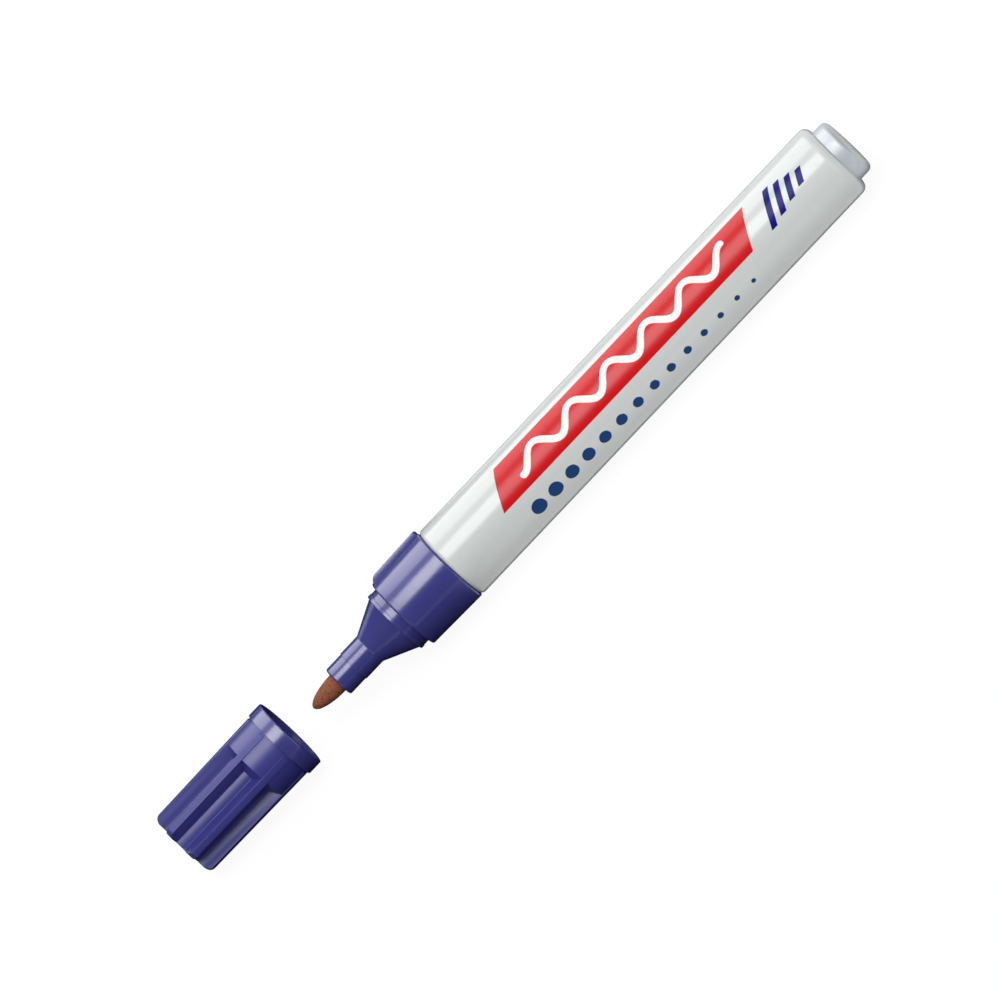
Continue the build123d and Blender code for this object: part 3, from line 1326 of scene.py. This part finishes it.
    def _ribbed(self, depth: float, angle: float) -> Pair:
        """Depth and radius of a ring on the sleeve, where the ribs stand out of it."""
        return depth, max(self._body(depth), self._section(angle, depth))

    def _ramp_foot(self, angle: float) -> Pair:
        """Finds where the ramp at a flute's end meets the flute.

        Args:
            angle: Angle from the middle of the nearest rib.

        Returns:
            Depth and radius.
        """
        top = self._body(self.flute_start)
        share = (top - self._section(angle, self.flute_start)) / (top - self.floor)
        depth = self.flute_start + max(share, self.flute_ramp_least) * self.flute_ramp
        return depth, self._section(angle, depth)

    def _end_spot(self, share: float, angle: float) -> Pair:
        """Finds a place on the round of the closed end.

        Args:
            share: 0 where the round begins on that line, 1 at the end face.
            angle: Angle from the middle of the nearest rib.

        Returns:
            Depth and radius.
        """
        tip = self.end_radius + self.rib_height
        here = self._section(angle, self.length)
        drop = tip - here
        round_by = self.end_round
        if drop > self.end_round - self.floor_round:
            round_by = self.floor_round
            tip = here
            drop = 0.0
        begin = math.acos(1 - drop / round_by)
        turn = begin + (math.pi / 2 - begin) * share
        return self.length - round_by * (1 - math.sin(turn)), tip - round_by * (1 - math.cos(turn))

    def _from_rib(self, angle: float) -> float:
        """Angle from the middle of the nearest rib, without sign."""
        return abs((angle - self.rib_angle + self.pitch / 2) % self.pitch - self.pitch / 2)

    def _body(self, depth: float) -> float:
        """Radius of the drafted body at a depth."""
        return self.mouth_radius + depth / self.length * (self.end_radius - self.mouth_radius)

    def _section(self, angle: float, depth: float) -> float:
        """Radius of the fluted outside: rib top, rib side, root round or floor.

        Args:
            angle: Angle from the middle of the nearest rib.
            depth: Depth of the section.

        Returns:
            The radius.
        """
        tip = self._body(depth) + self.rib_height
        if angle > self.floor_angle:
            return self.floor
        if angle > self.root_angle:
            reach = self.floor + self.root_radius
            off = angle - self.floor_angle
            return reach * math.cos(off) - math.sqrt(self.root_radius**2 - (reach * math.sin(off)) ** 2)
        edge = self.rib_edge / self.end_radius
        past = max(angle - self.tip_angle + edge, 0.0) / edge
        side = self.side / math.sin(angle + self.rib_draft)
        return min(side, tip - self.rib_edge * min(past, 1.0) ** 2)


@dataclass
class InnerPieces:
    """Pieces inside the pen and the cap, which keep their solids and get their finishes."""

    nodes: tuple[str, ...] = ("ink_core", "core_wrap", "inner_cap")

    def build(self, palette: Palette) -> None:
        """Gives each inner solid its finish.

        Args:
            palette: Materials to dress them with.
        """
        for node in self.nodes:
            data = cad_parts[node].data
            data.materials.clear()
            data.materials.append(palette.inner[node])
            LOG.info("%s dressed", node)


def square_to_pen(angle: float) -> Vector:
    """Direction square to the pen at an angle in degrees, from the camera's side toward the lug."""
    turn = LUG_ANGLE + math.radians(90 - angle)
    return Vector((0, math.cos(turn), math.sin(turn)))


def rectangle(wide: Pair, high: Pair) -> list[Pair]:
    """Corners of a rectangle between two ends each way, in turn to the left."""
    return [(wide[0], high[0]), (wide[1], high[0]), (wide[1], high[1]), (wide[0], high[1])]


def seen_white(tree: bpy.types.NodeTree) -> Field:
    """Adds nodes that are 1 for rays from the camera, mirrors and glass.

    Args:
        tree: Node tree to add them to.

    Returns:
        Their result.
    """
    path = tree.nodes.new("ShaderNodeLightPath")
    rays = ("Is Camera Ray", "Is Glossy Ray", "Is Transmission Ray")
    camera, mirror, glass = (Field(tree, path.outputs[ray]) for ray in rays)
    return camera.most(mirror).most(glass)


def mix_shaders(
    tree: bpy.types.NodeTree, share: bpy.types.NodeSocket, first: bpy.types.Node, second: bpy.types.Node
) -> None:
    """Mixes two shaders and shows the mix.

    Args:
        tree: Node tree of a material or a world.
        share: Share of the second shader.
        first: Shader where the share is 0.
        second: Shader where the share is 1.
    """
    mix = tree.nodes.new("ShaderNodeMixShader")
    for source, socket in zip((share, first.outputs[0], second.outputs[0]), mix.inputs):
        tree.links.new(source, socket)
    output = next(node for node in tree.nodes if node.bl_idname.startswith("ShaderNodeOutput"))
    tree.links.new(mix.outputs[0], output.inputs["Surface"])


@dataclass(frozen=True)
class Strip:
    """Strip light along the pen.

    Its middle and width are degrees as seen from the pen, the middle counted from the camera's side toward
    the lug. A radiance of 1 is white, and lengths are in metres.
    """

    name: str
    middle: float
    width: float
    radiance: float
    gloss_only: bool = False
    distance: float = 1.4
    length: float = 0.56
    middle_x: float = -0.09

    def build(self) -> None:
        """Adds the light."""
        direction = square_to_pen(self.middle)
        data = bpy.data.lights.new(self.name, "AREA")
        data.shape = "RECTANGLE"
        data.size = self.length
        data.size_y = 2 * self.distance * math.tan(math.radians(self.width) / 2)
        data.energy = self.radiance * math.pi * data.size * data.size_y
        light = bpy.data.objects.new(self.name, data)
        bpy.context.scene.collection.objects.link(light)
        turn = Matrix((ALONG, direction.cross(ALONG), direction)).transposed().to_4x4()
        place = direction * self.distance + ALONG * self.middle_x
        light.matrix_world = Matrix.Translation(place) @ turn
        light.visible_diffuse = not self.gloss_only


@dataclass(frozen=True)
class Card:
    """Card that keeps white off the pen: black on the pen's side and clear on the other.

    It is out of the camera's sight and throws no shadow. Lengths are in metres.
    """

    name: str

    black: ClassVar[float] = 0.004
    gloss_only: ClassVar[bool] = False

    def corners(self) -> list[Vector]:
        """Four corners, in turn to the left as seen from the pen."""
        raise NotImplementedError

    def build(self) -> None:
        """Adds the card."""
        start_fresh()
        bpy.ops.mesh.primitive_plane_add(size=1.0)
        card = bpy.context.object
        card.name = self.name
        first, second, third, fourth = self.corners()
        for vertex, corner in zip(card.data.vertices, (first, second, fourth, third)):
            vertex.co = corner
        card.data.materials.append(self._material())
        card.visible_camera = False
        card.visible_shadow = False
        card.visible_transmission = False
        card.visible_diffuse = not self.gloss_only

    def _material(self) -> bpy.types.Material:
        """Builds the material.

        Returns:
            The material.
        """
        material = bpy.data.materials.new(self.name)
        material.use_nodes = True
        tree = material.node_tree
        surface = tree.nodes["Principled BSDF"]
        surface.inputs["Base Color"].default_value = (self.black, self.black, self.black, 1.0)
        surface.inputs["Roughness"].default_value = 1.0
        surface.inputs["Specular IOR Level"].default_value = 0.0
        clear = tree.nodes.new("ShaderNodeBsdfTransparent")
        behind = tree.nodes.new("ShaderNodeNewGeometry").outputs["Backfacing"]
        mix_shaders(tree, behind, surface, clear)
        return material


@dataclass(frozen=True)
class TableCard(Card):
    """Card that lies on the table, between two ends along X and two along Y."""

    along: Pair
    across: Pair

    lift: ClassVar[float] = 0.5 * MM

    def corners(self) -> list[Vector]:
        """Four corners, in turn to the left as seen from the pen."""
        level = CAD_BOX[0].z + self.lift
        return [Vector((x, y, level)) for x, y in rectangle(self.along, self.across)]


@dataclass(frozen=True)
class SideCard(Card):
    """Card that hangs along the pen, with its middle and width in degrees as a strip light has them."""

    middle: float
    width: float
    middle_x: float
    length: float

    distance: ClassVar[float] = 1.0

    def corners(self) -> list[Vector]:
        """Finds the corners.

        Returns:
            Four corners, in turn to the left as seen from the pen.
        """
        centre = square_to_pen(self.middle) * self.distance + ALONG * self.middle_x
        half = square_to_pen(self.middle + 90) * self.distance * math.tan(math.radians(self.width) / 2)
        reach = ALONG * (self.length / 2)
        return [centre - reach + half, centre + reach + half, centre + reach - half, centre - reach - half]


@dataclass(frozen=True)
class EndCard(Card):
    """Card that stands across the pen's line, beyond one of its ends, for reflections alone."""

    x: float

    across: ClassVar[Pair] = (-0.6, 0.75)
    height: ClassVar[Pair] = (0.0, 0.75)
    gloss_only: ClassVar[bool] = True

    def corners(self) -> list[Vector]:
        """Four corners, in turn to the left as seen from the pen."""
        corners = [Vector((self.x, y, z)) for y, z in rectangle(self.across, self.height)]
        return corners if self.x < 0 else corners[::-1]


@dataclass
class Studio:
    """White table, two strip lights along the pen, black cards and a long lens.

    The lens and the sensor are in millimetres, and lengths in the room are in metres.
    """

    picture: float = 1000.0
    pixels_per_mm: float = 5.842
    origin_pixel: Pair = (643.4, 360.1)
    pen_slope: float = math.radians(46.55)
    tail_tilt: float = math.radians(4.2)
    lens: float = 1000.0
    sensor: float = 36.0
    sight: Pair = (0.01, 50.0)
    floor_size: float = 6.0
    floor_tone: float = 0.62
    floor_rough: float = 0.9
    floor_white: float = 0.87
    floor_glow: float = 1.07
    fill: float = 0.76
    strips: tuple[Strip, ...] = (
        Strip("strip_near", middle=30, width=31, radiance=5.9),
        Strip("strip_far", middle=91, width=50, radiance=3.1, gloss_only=True),
    )
    plastic_ends: Pair = (-0.20, -0.0485)
    barrel_end: float = 0.055
    cards: tuple[Card, ...] = (
        TableCard("flag_table", along=plastic_ends, across=(-0.22, 0.30)),
        TableCard("flag_under", along=(plastic_ends[1], barrel_end), across=(-0.006, 0.03)),
        SideCard("flag_near", middle=-17, width=56, middle_x=-0.16, length=0.52),
        SideCard("flag_back", middle=127, width=14, middle_x=-0.24, length=0.36),
        EndCard("flag_end", x=-0.6),
        EndCard("flag_tail", x=0.6),
    )

    def build(self) -> None:
        """Sets the table, the lights, the cards, the world and the camera, and shows colours as written."""
        bpy.context.scene.view_settings.view_transform = "Standard"
        self._floor()
        for thing in (*self.strips, *self.cards):
            thing.build()
        self._world()
        self._camera()
        LOG.info("studio ready")

    def _camera(self) -> None:
        """Places the camera so that the pen lies across the picture as it does in the photograph."""
        back = square_to_pen(0) * math.cos(self.tail_tilt) + ALONG * math.sin(self.tail_tilt)
        axis = (ALONG - back * ALONG.dot(back)).normalized()
        side = back.cross(axis)
        right = axis * math.cos(self.pen_slope) - side * math.sin(self.pen_slope)
        up = axis * math.sin(self.pen_slope) + side * math.cos(self.pen_slope)
        scale = MM / self.pixels_per_mm
        middle = self.picture / 2
        aim = right * (middle - self.origin_pixel[0]) * scale + up * (self.origin_pixel[1] - middle) * scale
        distance = self.picture * scale * self.lens / self.sensor
        data = bpy.data.cameras.new("camera")
        data.lens = self.lens
        data.sensor_width = self.sensor
        data.clip_start, data.clip_end = self.sight
        camera = bpy.data.objects.new("camera", data)
        bpy.context.scene.collection.objects.link(camera)
        turn = Matrix((right, up, back)).transposed().to_4x4()
        camera.matrix_world = Matrix.Translation(aim + back * distance) @ turn
        bpy.context.scene.camera = camera

    def _floor(self) -> None:
        """Adds the table: white to the eye, with the pen's soft shadow."""
        start_fresh()
        level = CAD_BOX[0].z
        bpy.ops.mesh.primitive_plane_add(size=self.floor_size, location=(0, 0, level))
        floor = bpy.context.object
        floor.name = "table"
        material = bpy.data.materials.new("table_white")
        material.use_nodes = True
        tree = material.node_tree
        surface = tree.nodes["Principled BSDF"]
        tone = self.floor_tone
        surface.inputs["Base Color"].default_value = (tone, tone, tone, 1.0)
        surface.inputs["Roughness"].default_value = self.floor_rough
        glow = tree.nodes.new("ShaderNodeEmission")
        glow.inputs["Strength"].default_value = self.floor_glow
        share = seen_white(tree) * self.floor_white
        mix_shaders(tree, share.socket, surface, glow)
        floor.data.materials.append(material)

    def _world(self) -> None:
        """Makes the surroundings white to the eye and a quiet fill for the rest."""
        world = bpy.data.worlds.new("studio")
        world.use_nodes = True
        bpy.context.scene.world = world
        tree = world.node_tree
        fill = tree.nodes["Background"]
        white = tree.nodes.new("ShaderNodeBackground")
        for light, strength in ((fill, self.fill), (white, 1.0)):
            light.inputs["Color"].default_value = (1, 1, 1, 1)
            light.inputs["Strength"].default_value = strength
        mix_shaders(tree, seen_white(tree).socket, fill, white)


def main() -> None:
    """Builds the marker piece by piece, then the studio around it."""
    logging.basicConfig(level=logging.INFO, format="%(name)s: %(message)s")
    barrel = Barrel()
    palette = Palette(Finishes(), barrel.radius)
    for piece in (barrel, NibHolder(), Nib(), Cap(), InnerPieces()):
        piece.build(palette)
    Studio().build()
    start_fresh()


if __name__ == "__main__":
    main()
